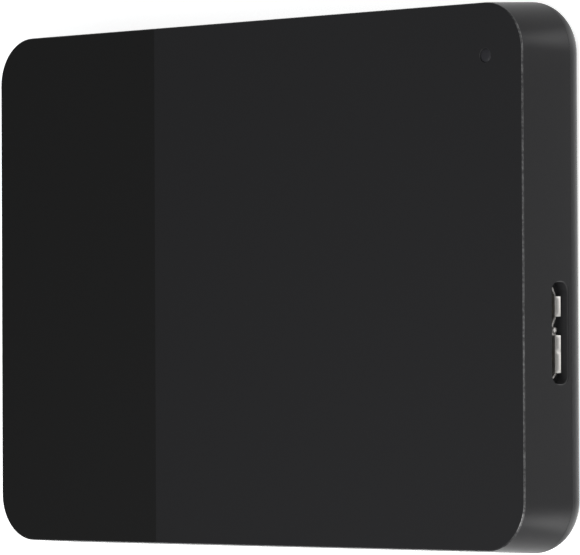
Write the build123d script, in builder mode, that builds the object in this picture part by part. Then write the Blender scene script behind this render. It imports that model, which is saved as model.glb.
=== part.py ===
# Portable external hard drive: a moulded two-part case round a 2.5 inch single-disc drive
# with its own USB board. Millimetres. The drive lies on its feet, front cover up:
# X runs along the length with the USB socket at +X, Y across the width, Z up from the feet.
import os
from math import atan, cos, degrees, radians, sin, tan

from build123d import *

# Bare drive, and the scale of its disc and actuator against the 2.5 inch form
drive_length = 100.2
drive_width = 69.85
plan = min(drive_length / 100.2, drive_width / 69.85)
drive_corner = 2.0
drive_x = 0.9
bay_length = 8.5
rail_width = 2.4
lid_thickness = 0.4
gasket_thickness = 0.3
gasket_width = 0.9
gasket_setback = 0.45
chamber_gap = 0.9
chamber_floor = 0.8
disc_wall = 1.6
end_wall = 1.5
bay_wall = 4.0
head_room = 1.2

# Case, with the room it leaves round the drive
wall = 1.5
end_space = 2.9
side_space = 2.575
space_below = 1.9
space_above = 1.3
corner_radius = 7.5
front_inset = 0.53
front_edge_bevel = 0.25
rear_edge_round = 3.5
rear_rim = 0.2
lip_height = 1.2
lip_thickness = 0.8
lip_gap = 0.12
snap_length = 7.0
snap_reach = 0.3
snap_height = 0.5
snap_gap = 0.15
snap_spacing = 34.0
snaps_per_side = 3

# Feet
foot_height = 0.8
foot_radius = 4.0
foot_setback = 10.5

# Status light
light_from_end = 7.45
light_from_side = 8.0
light_radius = 0.95
light_gap = 0.05
light_recess = 0.12
light_flare = 0.1
light_stem_width = 1.6
light_collar_width = 3.4
light_collar_height = 0.8
led_length = 1.6
led_width = 1.0
led_height = 0.6
led_gap = 0.3

# Shock pads
bumper_leg = 16.0
bumper_low = 5.9
bumper_high = 10.2
bumper_gap = 0.1
rib_thickness = 1.0
rib_gap = 0.3
pad_length = 14.0
pad_width = 6.0
pad_setback_x = 11.0
pad_setback_y = 10.0

# Disc and motor
disc_radius = 32.5 * plan
disc_hole_radius = 10.0 * plan
disc_thickness = 0.8
disc_lift = 1.7
hub_flange_radius = 12.0 * plan
hub_flange_thickness = 0.75
hub_fit = 0.05
magnet_inner = 9.7 * plan
magnet_wall = 1.2 * plan
magnet_height = 1.8
stator_teeth = 9
stator_thickness = 0.7
ring_radius = 5.6 * plan
tooth_width = 1.1 * plan
tooth_shoe = 0.5 * plan
shoe_reach = 8.8 * plan
shoe_slot = 1.6 * plan
coil_wall = 0.45
coil_clearance = 0.05
motor_well_depth = 1.4
motor_gap = 0.6
boss_radius = 4.6 * plan
shaft_radius = 1.5
bearing_gap = 0.03
press_gap = 0.01
clamp_radius = 11.4 * plan
clamp_thickness = 0.5

# Head actuator
pivot_dx = 37.0 * plan
pivot_dy = -12.0 * plan
park_angle = 105.7
barrel_radius = 5.5 * plan
barrel_margin = 0.05
pivot_post_radius = 1.6
arm_reach = 24.0 * plan
arm_root_half = 4.0 * plan
arm_tip_half = 1.8 * plan
arm_thickness = 0.5
head_radius = 33.0 * plan
suspension_start = 19.5 * plan
suspension_tip_half = 0.7 * plan
suspension_thickness = 0.15
lift_tab_length = 3.3 * plan
lift_tab_half = 0.3 * plan
slider_length = 1.2 * plan
slider_width = 1.0 * plan
slider_height = 0.22
head_gap = 0.08
coil_angle = 320.7
coil_half_angle = 20.0
coil_inner = 8.0 * plan
coil_outer = 15.0 * plan
coil_band = 2.0 * plan
coil_height = 1.2
fork_root = 4.5 * plan
fork_angle = 2.4
fork_fit = 0.05
yoke_inner = 6.8 * plan
yoke_outer = 17.0 * plan
yoke_start = 286.0
yoke_end = 388.0
yoke_leg_angle = 6.0
yoke_leg_inner = 9.0 * plan
yoke_thickness = 0.5
magnet_sheet = 0.45
magnet_margin = 1.2 * plan
magnet_inset_angle = 9.0
ramp_lap = 1.6 * plan
ramp_end_gap = 0.3
ramp_length = 3.4 * plan
ramp_park_side = 3.4 * plan
ramp_disc_side = 2.6 * plan
ramp_tab_gap = 0.1
ramp_disc_gap = 0.4
stop_along = 9.0 * plan
stop_radius = 1.2 * plan
stop_gap = 0.25
filter_size = 6.0 * plan
filter_height = 2.6
filter_dx = 13.5 * plan
filter_dy = 33.0 * plan
bracket_length = 11.0 * plan
bracket_width = 7.0 * plan
bracket_foot = 0.6
bracket_wall = 0.8
bracket_height = 2.9
bracket_dx = 9.0 * plan
bracket_dy = 21.0 * plan
ribbon_thickness = 0.15
ribbon_width = 1.8
ribbon_gap = 0.3
ribbon_angle = 45.0
ribbon_bow = 2.6 * plan

# Circuit board
board_thickness = 0.7
board_setback = 0.6
board_lift = 0.35
board_motor_gap = 6.7 * plan
board_edge_gap = 0.5
ledge_size = 4.0 * plan
film_thickness = 0.2
chip_height = 0.6
chip_clearance = 0.15
controller_size = 10.0 * plan
controller_back = 18.5 * plan
controller_y = 14.0 * plan
memory_length = 8.0 * plan
memory_width = 6.0 * plan
memory_back = 6.5 * plan
memory_y = 17.0 * plan
driver_size = 6.0 * plan
driver_back = 20.5 * plan
driver_y = -14.0 * plan
crystal_length = 2.5 * plan
crystal_width = 2.0 * plan
crystal_back = 9.5 * plan
crystal_y = 6.0 * plan
capacitor_length = 1.6 * plan
capacitor_width = 0.8 * plan
capacitor_height = 0.55
capacitor_count = 6
capacitor_pitch = 2.4 * plan
capacitor_back = 6.0 * plan
capacitor_inset = 13.925
board_connector_length = 9.0 * plan
board_connector_width = 4.0 * plan

# USB socket
port_y = -7.96
slot_drop = 0.17
slot_side_gap = 0.7
slot_height_gap = 0.42
slot_corner = 1.3
socket_rim_recess = 1.653
socket_lift = 0.51
socket_width = 12.9
socket_height = 2.36
socket_length = 8.1
socket_sheet = 0.22
socket_back = 2.6
slope_rise = 0.6
wide_run = 0.64
narrow_run = 1.07
split_start = -0.07
split_end = 1.04
split_rise = 0.62
lip_fold = 0.11
low_lip = 0.58
high_lip = 0.25
leg_length = 3.0
leg_width = 0.9
leg_setback = 1.2
tongue_thickness = 0.65
tongue_setback = 0.35
wide_tongue = 4.6
narrow_tongue = 2.9
tongue_side_gap = 1.1
contact_count = 5
contact_pitch = 0.5
contact_width = 0.26
contact_height = 0.06
contact_setback = 0.4

# Levels, from the plane of the feet up through the drive to the front face
rear_face = foot_height
rear_floor = rear_face + wall
parting = rear_face + rear_edge_round + rear_rim
drive_base_level = rear_floor + space_below
board_level = drive_base_level + board_lift
board_top = board_level + board_thickness
floor_under = board_top + chip_height + chip_clearance
floor_level = floor_under + chamber_floor
disc_level = floor_level + disc_lift
disc_top = disc_level + disc_thickness
disc_middle = disc_level + disc_thickness / 2
rim_level = disc_top + head_room
lid_level = rim_level + gasket_thickness
drive_top = lid_level + lid_thickness
drive_height = drive_top - drive_base_level
front_ceiling = drive_top + space_above
front_face = front_ceiling + wall
side_depth = front_face - parting
draft_angle = degrees(atan(front_inset / side_depth))

# Outlines of the case, inside and outside
inner_length = drive_length + 2 * end_space
inner_width = drive_width + 2 * side_space
inner_corner = corner_radius - wall
case_length = inner_length + 2 * wall
case_width = inner_width + 2 * wall
light_x = case_length / 2 - light_from_end
light_y = case_width / 2 - light_from_side
slot_width = socket_width + 2 * slot_side_gap
slot_height = socket_height + 2 * slot_height_gap
port_z = board_top + socket_lift + socket_height / 2 - slot_drop

# Places along the drive
drive_left = drive_x - drive_length / 2
drive_right = drive_x + drive_length / 2
bay_left = drive_right - bay_length
lid_length = bay_left - drive_left
lid_middle = drive_left + lid_length / 2
chamber_right = bay_left - end_wall
chamber_radius = disc_radius + chamber_gap
spindle_x = drive_left + disc_wall + chamber_radius
board_left = spindle_x + hub_flange_radius + board_motor_gap
board_right = drive_right - board_edge_gap
board_half = drive_width / 2 - rail_width - board_setback
pivot_x = spindle_x + pivot_dx
pivot_y = pivot_dy
tab_end = head_radius + lift_tab_length
ramp_inner = tab_end - ramp_lap
ramp_face = tab_end + ramp_end_gap
ramp_outer = ramp_face + ramp_length
actuator_bay_half = drive_width / 2 - bay_wall


def level(height):
    return Plane.XY.offset(height)


def pivot_plane(height, angle):
    x_axis = (cos(radians(angle)), sin(radians(angle)), 0)
    return Plane(origin=(pivot_x, pivot_y, height), x_dir=x_axis, z_dir=(0, 0, 1))


def side_inset(height):
    return (height - parting) * front_inset / side_depth


# A straight-edged sector drawn in the open sketch round its origin, with corners at three angles
def plate(inner, outer, start, end):
    middle = (start + end) / 2
    corners = [(outer, start), (outer, middle), (outer, end), (inner, end), (inner, middle), (inner, start)]
    points = [(radius * cos(radians(angle)), radius * sin(radians(angle))) for radius, angle in corners]
    with BuildLine() as outline:
        Polyline(*points, close=True)
    make_face(outline.edges())


# Front shell: one moulding with drafted sides, the USB slot and the hole for the status light
rib_x = inner_length / 2 - bumper_leg - bumper_gap - rib_thickness / 2
rib_y = inner_width / 2 - bumper_leg - bumper_gap - rib_thickness / 2
snap_level = parting + lip_height / 2
snap_places = GridLocations(snap_spacing, 0, snaps_per_side, 1).locations
snap_outer = inner_width / 2 - side_inset(snap_level) - lip_gap + snap_reach

with BuildPart() as front_shell:
    with BuildSketch(level(parting)):
        RectangleRounded(case_length, case_width, corner_radius)
    extrude(amount=side_depth, taper=draft_angle)
    front_edges = front_shell.faces().sort_by(Axis.Z)[-1].edges()
    chamfer(front_edges, front_edge_bevel)
    with BuildSketch(level(parting)):
        RectangleRounded(inner_length, inner_width, inner_corner)
    extrude(amount=front_ceiling - parting, taper=draft_angle, mode=Mode.SUBTRACT)
    with BuildSketch(level(front_ceiling)):
        with Locations((light_x, light_y)):
            Circle(light_radius + light_gap)
    extrude(amount=wall, mode=Mode.SUBTRACT)
    hole_rim = front_shell.faces().sort_by(Axis.Z)[-1].inner_wires()[0].edges()
    chamfer(hole_rim, light_flare)
    with BuildSketch(Plane.YZ.offset(inner_length / 2 - wall)):
        with Locations((port_y, port_z)):
            RectangleRounded(slot_width, slot_height, slot_corner)
    extrude(amount=3 * wall, mode=Mode.SUBTRACT)
    # ribs that keep the corner bumpers in their corners
    with BuildSketch(level(bumper_low)):
        with GridLocations(2 * rib_x, 0, 2, 1):
            Rectangle(rib_thickness, inner_width)
        with GridLocations(0, 2 * rib_y, 1, 2):
            Rectangle(inner_length, rib_thickness)
        with Locations((drive_x, 0)):
            Rectangle(drive_length + 2 * rib_gap, drive_width + 2 * rib_gap, mode=Mode.SUBTRACT)
    extrude(amount=front_ceiling - bumper_low)
    for place in snap_places:
        for side in (-1, 1):
            with BuildSketch(level(snap_level - snap_height / 2 - snap_gap)):
                with Locations((place.position.X, side * (snap_outer - wall / 2 + snap_gap))):
                    Rectangle(snap_length + 2 * snap_gap, wall)
            extrude(amount=snap_height + 2 * snap_gap, mode=Mode.SUBTRACT)

# Rear cover: a shallow tray with a full round, a lip inside the front shell and snap ridges
lip_outer_length = inner_length - 2 * (lip_gap + side_inset(parting + lip_height))
lip_outer_width = inner_width - 2 * (lip_gap + side_inset(parting + lip_height))
tray_length = lip_outer_length - 2 * lip_thickness
tray_width = lip_outer_width - 2 * lip_thickness
tray_corner = inner_corner - lip_thickness

with BuildPart() as rear_cover:
    with BuildSketch(level(rear_face)):
        RectangleRounded(case_length, case_width, corner_radius)
    extrude(amount=parting - rear_face)
    rear_edges = rear_cover.faces().sort_by(Axis.Z)[0].edges()
    fillet(rear_edges, rear_edge_round)
    with BuildSketch(level(rear_floor)):
        RectangleRounded(tray_length, tray_width, tray_corner)
    extrude(amount=parting - rear_floor, mode=Mode.SUBTRACT)
    # the lip runs along the straight sides and stops short of the socket
    with BuildSketch(level(parting)):
        with GridLocations(0, lip_outer_width - lip_thickness, 1, 2):
            Rectangle(case_length - 2 * corner_radius, lip_thickness)
        with GridLocations(lip_outer_length - lip_thickness, 0, 2, 1):
            Rectangle(lip_thickness, case_width - 2 * corner_radius)
        with Locations((inner_length / 2, port_y)):
            Rectangle(4 * wall, slot_width + 2 * wall, mode=Mode.SUBTRACT)
    extrude(amount=lip_height)
    for place in snap_places:
        for side in (-1, 1):
            with BuildSketch(level(snap_level - snap_height / 2)):
                with Locations((place.position.X, side * (snap_outer - lip_thickness / 2))):
                    Rectangle(snap_length, lip_thickness)
            extrude(amount=snap_height)

# Four rubber feet stuck to the rear face
with BuildPart() as rubber_feet:
    with BuildSketch(Plane.XY):
        with GridLocations(case_length - 2 * foot_setback, case_width - 2 * foot_setback, 2, 2):
            Circle(foot_radius)
    extrude(amount=foot_height)

# Light pipe, from the status light on the board up into the front hole
pipe_low = board_top + led_height + led_gap
pipe_top = front_face - light_recess

with BuildPart() as light_pipe:
    with BuildSketch(level(pipe_low)):
        with Locations((light_x, light_y)):
            Rectangle(light_stem_width, light_stem_width)
    extrude(amount=front_ceiling - pipe_low)
    with BuildSketch(level(front_ceiling - light_collar_height)):
        with Locations((light_x, light_y)):
            Rectangle(light_collar_width, light_collar_width)
    extrude(amount=light_collar_height)
    with BuildSketch(level(front_ceiling)):
        with Locations((light_x, light_y)):
            Circle(light_radius)
    extrude(amount=pipe_top - front_ceiling)

with BuildPart() as status_led:
    with BuildSketch(level(board_top)):
        with Locations((light_x, light_y)):
            Rectangle(led_width, led_length)
    extrude(amount=led_height)

# Corner bumpers between the drive and the case walls
bumper_outer_length = inner_length - 2 * (side_inset(bumper_high) + bumper_gap)
bumper_outer_width = inner_width - 2 * (side_inset(bumper_high) + bumper_gap)
corners = {
    "lower_left": (-1, -1),
    "lower_right": (1, -1),
    "upper_left": (-1, 1),
    "upper_right": (1, 1),
}
bumpers = {}
for name, (side_x, side_y) in corners.items():
    with BuildPart() as bumper:
        with BuildSketch(level(bumper_low)):
            RectangleRounded(bumper_outer_length, bumper_outer_width, inner_corner - bumper_gap)
            with Locations((drive_x, 0)):
                Rectangle(drive_length, drive_width, mode=Mode.SUBTRACT)
            corner_x = side_x * (inner_length / 2 - bumper_leg / 2)
            corner_y = side_y * (inner_width / 2 - bumper_leg / 2)
            with Locations((corner_x, corner_y)):
                Rectangle(bumper_leg, bumper_leg, mode=Mode.INTERSECT)
        extrude(amount=bumper_high - bumper_low)
    bumpers[f"corner_bumper_{name}"] = bumper

# Soft pads over and under the drive
pad_spacing_y = drive_width - 2 * pad_setback_y
with BuildPart() as cushion_pads:
    with BuildSketch(level(drive_top)):
        with Locations((lid_middle, 0)):
            with GridLocations(lid_length - 2 * pad_setback_x, pad_spacing_y, 2, 2):
                Rectangle(pad_length, pad_width)
    extrude(amount=front_ceiling - drive_top)

with BuildPart() as foam_pads:
    with BuildSketch(level(rear_floor)):
        with Locations((drive_x, 0)):
            with GridLocations(drive_length - 2 * pad_setback_x, pad_spacing_y, 2, 2):
                Rectangle(pad_length, pad_width)
    extrude(amount=drive_base_level - film_thickness - rear_floor)

# Drive base: a cast tub with the motor well, a board cavity below and a connector bay at +X
well_level = floor_level - motor_well_depth
well_radius = hub_flange_radius + motor_gap
flange_level = disc_level - hub_flange_thickness
stator_top = flange_level - motor_gap / 2
stator_level = stator_top - stator_thickness - 2 * coil_wall
shaft_low = drive_base_level + chamber_floor

with BuildPart() as drive_base:
    with BuildSketch(level(drive_base_level)) as base_outline:
        with Locations((drive_x, 0)):
            Rectangle(drive_length, drive_width)
        chamfer(base_outline.vertices(), drive_corner)
    extrude(amount=rim_level - drive_base_level)
    # connector bay, open upwards and at the end, between two side rails
    with BuildSketch(level(drive_base_level)):
        with Locations((bay_left + bay_length, 0)):
            Rectangle(2 * bay_length, drive_width - 2 * rail_width)
    extrude(amount=drive_height, mode=Mode.SUBTRACT)
    # board cavity underneath
    with BuildSketch(level(drive_base_level)):
        with Locations(((board_left - board_edge_gap + bay_left) / 2, 0)):
            Rectangle(bay_left - board_left + board_edge_gap, drive_width - 2 * rail_width)
    extrude(amount=floor_under - drive_base_level, mode=Mode.SUBTRACT)
    # sealed chamber for the disc and the actuator
    with BuildSketch(level(floor_level)):
        with Locations((spindle_x, 0)):
            Circle(chamber_radius)
        with Locations(((spindle_x + chamber_right) / 2, 0)):
            Rectangle(chamber_right - spindle_x, 2 * actuator_bay_half)
    extrude(amount=drive_height, mode=Mode.SUBTRACT)
    # motor well round the boss that carries the stator and is bored for the shaft
    with BuildSketch(level(well_level)):
        with Locations((spindle_x, 0)):
            Circle(well_radius)
            Circle(boss_radius, mode=Mode.SUBTRACT)
    extrude(amount=motor_well_depth, mode=Mode.SUBTRACT)
    with BuildSketch(level(floor_level)):
        with Locations((spindle_x, 0)):
            Circle(boss_radius)
    extrude(amount=stator_top - floor_level)
    with BuildSketch(level(shaft_low - bearing_gap)):
        with Locations((spindle_x, 0)):
            Circle(shaft_radius + bearing_gap)
    extrude(amount=drive_height, mode=Mode.SUBTRACT)
    # ledges that carry the board
    with BuildSketch(level(board_top)):
        with Locations(((board_left + bay_left) / 2, 0)):
            with GridLocations(bay_left - board_left - ledge_size, 2 * board_half - ledge_size, 2, 2):
                Rectangle(ledge_size, ledge_size)
    extrude(amount=floor_under - board_top)

# Gasket and lid
with BuildPart() as lid_gasket:
    with BuildSketch(level(rim_level)):
        with Locations((lid_middle, 0)):
            Rectangle(lid_length - 2 * gasket_setback, drive_width - 2 * gasket_setback)
            Rectangle(
                lid_length - 2 * (gasket_setback + gasket_width),
                drive_width - 2 * (gasket_setback + gasket_width),
                mode=Mode.SUBTRACT,
            )
    extrude(amount=gasket_thickness)

with BuildPart() as drive_lid:
    with BuildSketch(level(lid_level)) as lid_outline:
        with Locations((lid_middle, 0)):
            Rectangle(lid_length, drive_width)
        chamfer(lid_outline.vertices(), drive_corner)
    extrude(amount=lid_thickness)

# Spindle motor: fixed stator on the boss, turning hub with its shaft, magnet, disc and clamp
hub_top = disc_top - hub_fit
tooth_angle = 360 / stator_teeth
shoe_length = 2 * shoe_reach * tan(radians(tooth_angle / 2))
with BuildPart() as stator_core:
    with BuildSketch(Plane((spindle_x, 0, stator_level + coil_wall))):
        RegularPolygon(ring_radius, stator_teeth, major_radius=False, rotation=tooth_angle / 2)
        with PolarLocations((boss_radius + shoe_reach) / 2, stator_teeth):
            Rectangle(shoe_reach - boss_radius, tooth_width)
        with PolarLocations(shoe_reach - tooth_shoe / 2, stator_teeth):
            Rectangle(tooth_shoe, shoe_length - shoe_slot)
        RegularPolygon(
            boss_radius + press_gap,
            stator_teeth,
            major_radius=False,
            rotation=tooth_angle / 2,
            mode=Mode.SUBTRACT,
        )
    extrude(amount=stator_thickness)

coil_length = shoe_reach - tooth_shoe - ring_radius - 4 * coil_clearance
with BuildPart() as stator_coils:
    with BuildSketch(Plane((spindle_x, 0, stator_level))):
        with PolarLocations((shoe_reach - tooth_shoe + ring_radius) / 2, stator_teeth):
            Rectangle(coil_length, tooth_width + 2 * coil_wall)
    extrude(amount=stator_thickness + 2 * coil_wall)
    with BuildSketch(Plane((spindle_x, 0, stator_level + coil_wall - coil_clearance))):
        with PolarLocations((shoe_reach - tooth_shoe + ring_radius) / 2, stator_teeth):
            Rectangle(2 * coil_length, tooth_width + 2 * coil_clearance)
    extrude(amount=stator_thickness + 2 * coil_clearance, mode=Mode.SUBTRACT)

with BuildPart() as spindle_hub:
    with BuildSketch(level(flange_level)):
        with Locations((spindle_x, 0)):
            Circle(hub_flange_radius)
    extrude(amount=hub_flange_thickness)
    with BuildSketch(level(disc_level)):
        with Locations((spindle_x, 0)):
            Circle(disc_hole_radius - hub_fit)
    extrude(amount=hub_top - disc_level)
    with BuildSketch(level(shaft_low)):
        with Locations((spindle_x, 0)):
            Circle(shaft_radius)
    extrude(amount=flange_level - shaft_low)

with BuildPart() as rotor_magnet:
    with BuildSketch(level(flange_level - magnet_height)):
        with Locations((spindle_x, 0)):
            Circle(magnet_inner + magnet_wall)
            Circle(magnet_inner, mode=Mode.SUBTRACT)
    extrude(amount=magnet_height)

with BuildPart() as platter:
    with BuildSketch(level(disc_level)):
        with Locations((spindle_x, 0)):
            Circle(disc_radius)
            Circle(disc_hole_radius, mode=Mode.SUBTRACT)
    extrude(amount=disc_thickness)

with BuildPart() as disc_clamp:
    with BuildSketch(level(disc_top)):
        with Locations((spindle_x, 0)):
            Circle(clamp_radius)
    extrude(amount=clamp_thickness)

# Head actuator: barrel on its pivot, two arms over and under the disc, coil at the back
suspension_half = disc_thickness / 2 + head_gap + slider_height
upper_suspension = disc_middle + suspension_half
upper_arm = upper_suspension + suspension_thickness
lower_suspension = disc_middle - suspension_half - suspension_thickness
lower_arm = lower_suspension - arm_thickness
barrel_low = lower_arm - barrel_margin
barrel_high = upper_arm + arm_thickness + barrel_margin
coil_low = disc_middle - coil_height / 2

with BuildPart() as arm_block:
    with BuildSketch(pivot_plane(barrel_low, park_angle)):
        Circle(barrel_radius)
    extrude(amount=barrel_high - barrel_low)
    for arm_level in (lower_arm, upper_arm):
        with BuildSketch(pivot_plane(arm_level, park_angle)):
            with BuildLine():
                Polyline(
                    (0, -arm_root_half),
                    (arm_reach, -arm_tip_half),
                    (arm_reach, arm_tip_half),
                    (0, arm_root_half),
                    close=True,
                )
            make_face()
        extrude(amount=arm_thickness)
    # moulded fork that holds the coil
    fork_end = coil_half_angle + fork_angle
    with BuildSketch(pivot_plane(coil_low, coil_angle)):
        plate(fork_root, coil_inner - fork_fit, -fork_end, fork_end)
        for side in (-1, 1):
            low_edge, high_edge = sorted((side * coil_half_angle, side * fork_end))
            plate(barrel_radius, coil_outer, low_edge, high_edge)
    extrude(amount=coil_height)
    with BuildSketch(pivot_plane(barrel_low, park_angle)):
        Circle(pivot_post_radius + bearing_gap)
    extrude(amount=drive_height, mode=Mode.SUBTRACT)

with BuildPart() as voice_coil:
    coil_edge = coil_half_angle - degrees(fork_fit / coil_inner)
    with BuildSketch(pivot_plane(coil_low, coil_angle)):
        plate(coil_inner, coil_outer, -coil_edge, coil_edge)
    extrude(amount=coil_height)
    hole_edge = coil_edge - degrees(coil_band / ((coil_inner + coil_outer) / 2))
    with BuildSketch(pivot_plane(coil_low, coil_angle)):
        plate(coil_inner + coil_band, coil_outer - coil_band, -hole_edge, hole_edge)
    extrude(amount=coil_height, mode=Mode.SUBTRACT)

suspensions = {}
suspension_root_half = arm_tip_half
for name, start in {"upper": upper_suspension, "lower": lower_suspension}.items():
    with BuildPart() as suspension:
        with BuildSketch(pivot_plane(start, park_angle)):
            with BuildLine():
                Polyline(
                    (suspension_start, -suspension_root_half),
                    (head_radius + slider_length, -suspension_tip_half),
                    (head_radius + slider_length, -lift_tab_half),
                    (tab_end, -lift_tab_half),
                    (tab_end, lift_tab_half),
                    (head_radius + slider_length, lift_tab_half),
                    (head_radius + slider_length, suspension_tip_half),
                    (suspension_start, suspension_root_half),
                    close=True,
                )
            make_face()
        extrude(amount=suspension_thickness)
    suspensions[f"{name}_suspension"] = suspension

with BuildPart() as head_sliders:
    for start in (upper_suspension - slider_height, lower_suspension + suspension_thickness):
        with BuildSketch(pivot_plane(start, park_angle)):
            with Locations((head_radius, 0)):
                Rectangle(slider_length, slider_width)
        extrude(amount=slider_height)

# What the actuator turns on and parks against
with BuildPart() as pivot_post:
    with BuildSketch(pivot_plane(floor_level, 0)):
        Circle(pivot_post_radius)
    extrude(amount=barrel_high + barrel_margin - floor_level)

yoke_lower_top = floor_level + yoke_thickness
upper_yoke_level = lid_level - barrel_margin - yoke_thickness

with BuildPart() as lower_yoke:
    with BuildSketch(pivot_plane(floor_level, 0)):
        plate(yoke_inner, yoke_outer, yoke_start, yoke_end)
    extrude(amount=yoke_thickness)

with BuildPart() as upper_yoke:
    with BuildSketch(pivot_plane(upper_yoke_level, 0)):
        plate(yoke_inner, yoke_outer, yoke_start, yoke_end)
    extrude(amount=yoke_thickness)
    with BuildSketch(pivot_plane(yoke_lower_top, 0)):
        plate(yoke_leg_inner, coil_outer, yoke_start, yoke_start + yoke_leg_angle)
        plate(yoke_leg_inner, coil_outer, yoke_end - yoke_leg_angle, yoke_end)
    extrude(amount=upper_yoke_level - yoke_lower_top)

magnets = {}
magnet_levels = {"lower": yoke_lower_top, "upper": upper_yoke_level - magnet_sheet}
for name, start in magnet_levels.items():
    with BuildPart() as magnet:
        with BuildSketch(pivot_plane(start, 0)):
            plate(
                yoke_inner + magnet_margin,
                yoke_outer - magnet_margin,
                yoke_start + magnet_inset_angle,
                yoke_end - magnet_inset_angle,
            )
        extrude(amount=magnet_sheet)
    magnets[f"{name}_magnet"] = magnet

# Load ramp: a block on the floor with a tongue between the two lift tabs
tongue_low = lower_suspension + suspension_thickness + ramp_tab_gap
tongue_high = upper_suspension - ramp_tab_gap
with BuildPart() as load_ramp:
    with BuildSketch(pivot_plane(floor_level, park_angle)):
        with Locations(((ramp_face + ramp_outer) / 2, (ramp_disc_side - ramp_park_side) / 2)):
            Rectangle(ramp_outer - ramp_face, ramp_disc_side + ramp_park_side)
    extrude(amount=upper_arm + arm_thickness - floor_level)
    with BuildSketch(pivot_plane(tongue_low, park_angle)):
        with Locations(((ramp_inner + ramp_face) / 2, (ramp_disc_side - ramp_park_side) / 2)):
            Rectangle(ramp_face - ramp_inner, ramp_disc_side + ramp_park_side)
    extrude(amount=tongue_high - tongue_low)
    with BuildSketch(level(floor_level)):
        with Locations((spindle_x, 0)):
            Circle(disc_radius + ramp_disc_gap)
    extrude(amount=drive_height, mode=Mode.SUBTRACT)

# Rubber-sleeved stop that the parked arm lies against
arm_half_there = arm_root_half - (arm_root_half - arm_tip_half) * stop_along / arm_reach
with BuildPart() as crash_stop:
    with BuildSketch(pivot_plane(floor_level, park_angle)):
        with Locations((stop_along, -arm_half_there - stop_gap - stop_radius)):
            Circle(stop_radius)
    extrude(amount=upper_arm + arm_thickness - floor_level)

with BuildPart() as breather_filter:
    with BuildSketch(level(floor_level)):
        with Locations((pivot_x + filter_dx, pivot_y + filter_dy)):
            Rectangle(filter_size, filter_size)
    extrude(amount=filter_height)

# Flat ribbon from the arm block to its bracket on the floor
bracket_x = pivot_x + bracket_dx
bracket_y = pivot_y + bracket_dy
bracket_face = bracket_y - bracket_width / 2
with BuildPart() as ribbon_bracket:
    with BuildSketch(level(floor_level)):
        with Locations((bracket_x, bracket_y)):
            Rectangle(bracket_length, bracket_width)
    extrude(amount=bracket_foot)
    with BuildSketch(level(floor_level)):
        with Locations((bracket_x, bracket_face + bracket_wall / 2)):
            Rectangle(bracket_length, bracket_wall)
    extrude(amount=bracket_height)

ribbon_start_radius = barrel_radius + ribbon_gap
ribbon_x = pivot_x + ribbon_start_radius * cos(radians(ribbon_angle))
ribbon_y = pivot_y + ribbon_start_radius * sin(radians(ribbon_angle))
ribbon_end_y = bracket_face - ribbon_thickness / 2
with BuildPart() as head_ribbon:
    with BuildSketch(level(disc_middle - ribbon_width / 2)):
        with BuildLine():
            Polyline(
                (ribbon_x, ribbon_y),
                (ribbon_x + ribbon_bow, (ribbon_y + ribbon_end_y) / 2),
                (ribbon_x, ribbon_end_y),
                (bracket_x + bracket_length / 2, ribbon_end_y),
            )
        trace(line_width=ribbon_thickness)
    extrude(amount=ribbon_width)

# Circuit board with its chips, and the film that covers it
with BuildPart() as circuit_board:
    with BuildSketch(level(board_level)):
        with Locations(((board_left + board_right) / 2, 0)):
            Rectangle(board_right - board_left, 2 * board_half)
    extrude(amount=board_thickness)


def chip(length, width, height, x, y):
    with BuildSketch(level(board_top)) as outline:
        with Locations((x, y)):
            Rectangle(length, width)
    extrude(outline.sketch, amount=height)


with BuildPart() as controller_chip:
    chip(controller_size, controller_size, chip_height, bay_left - controller_back, controller_y)

with BuildPart() as memory_chip:
    chip(memory_length, memory_width, chip_height, bay_left - memory_back, memory_y)

with BuildPart() as motor_driver_chip:
    chip(driver_size, driver_size, chip_height, bay_left - driver_back, driver_y)

with BuildPart() as crystal:
    chip(crystal_length, crystal_width, chip_height, bay_left - crystal_back, crystal_y)

with BuildPart() as board_capacitors:
    with BuildSketch(level(board_top)):
        with Locations((bay_left - capacitor_back, capacitor_inset - board_half)):
            with GridLocations(0, capacitor_pitch, 1, capacitor_count):
                Rectangle(capacitor_length, capacitor_width)
    extrude(amount=capacitor_height)

with BuildPart() as board_connector:
    chip(board_connector_length, board_connector_width, chip_height, bracket_x, bracket_y - bracket_width)

with BuildPart() as insulating_film:
    with BuildSketch(level(drive_base_level - film_thickness)):
        with Locations(((board_left + board_right) / 2, 0)):
            Rectangle(board_right - board_left, drive_width - 2 * board_edge_gap)
    extrude(amount=film_thickness)

# USB socket: folded steel shell of two compartments on legs, a moulded insert and its contacts
socket_rim = case_length / 2 - side_inset(port_z) - socket_rim_recess
socket_low = board_top + socket_lift
socket_high = socket_low + socket_height
socket_start = port_y - socket_width / 2
socket_end = port_y + socket_width / 2
socket_plane = Plane.YZ.offset(socket_rim - socket_length)
wide_wall = (socket_start + socket_sheet + wide_run, port_y + split_start - socket_sheet)
narrow_wall = (port_y + split_end + socket_sheet + narrow_run, socket_end - socket_sheet - narrow_run)


# The socket's outline from the plug side: slopes at the ends of both compartments, a fold between
def socket_outline(shrink):
    low = socket_low + shrink
    high = socket_high - shrink
    start = socket_start + shrink
    end = socket_end - shrink
    fold_start = port_y + split_start - shrink
    fold_end = port_y + split_end + shrink
    fold_top = socket_low + split_rise + shrink
    with BuildLine() as outline:
        Polyline(
            (start + wide_run, low),
            (fold_start, low),
            (fold_start, fold_top),
            (fold_end, fold_top),
            (fold_end + narrow_run, low),
            (end - narrow_run, low),
            (end, low + slope_rise),
            (end, high),
            (start, high),
            (start, low + slope_rise),
            close=True,
        )
    make_face(outline.edges())


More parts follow.
